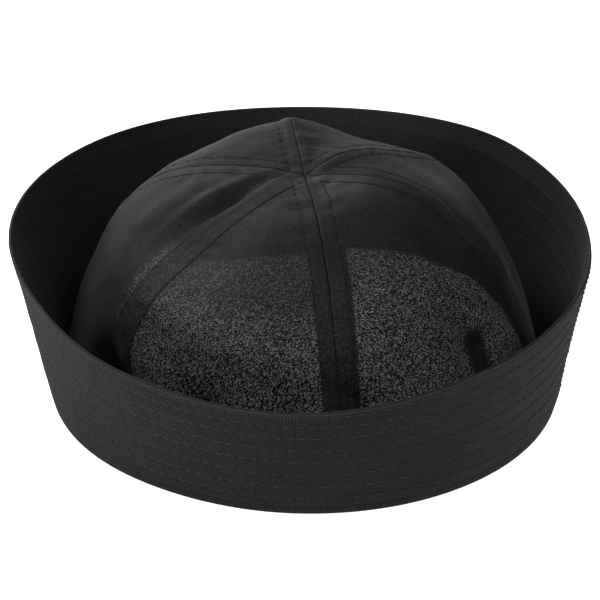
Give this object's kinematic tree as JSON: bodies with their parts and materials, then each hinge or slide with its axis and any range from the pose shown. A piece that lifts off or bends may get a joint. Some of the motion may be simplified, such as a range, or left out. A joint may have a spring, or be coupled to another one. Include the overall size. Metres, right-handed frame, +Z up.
{
  "type": "sailor cap",
  "caption": "Soft round cap with a domed crown sewn from gores inside a tall, stitched, turned-up brim, resting on the fold of its brim.",
  "frame": {"origin": "under the middle of the whole cap, on the surface that the fold of the brim rests on", "axes": "+Z up through the crown, -Y towards the front of the cap, +X to the wearer's left as the cap faces -Y"},
  "size_m": [0.2202, 0.2656, 0.0924],
  "materials": {
    "crown_cloth": "black twill with a fine sparkle",
    "brim_cloth": "black ribbed cotton, stitched in rows"
  },
  "bodies": {
    "root": {"crown_gore_front_left": "crown_cloth", "crown_gore_front_right": "crown_cloth", "crown_gore_right": "crown_cloth", "crown_gore_back_right": "crown_cloth", "crown_gore_back_left": "crown_cloth", "crown_gore_left": "crown_cloth", "brim_outer_ply": "brim_cloth", "brim_inner_ply": "brim_cloth"}
  },
  "joints": []
}
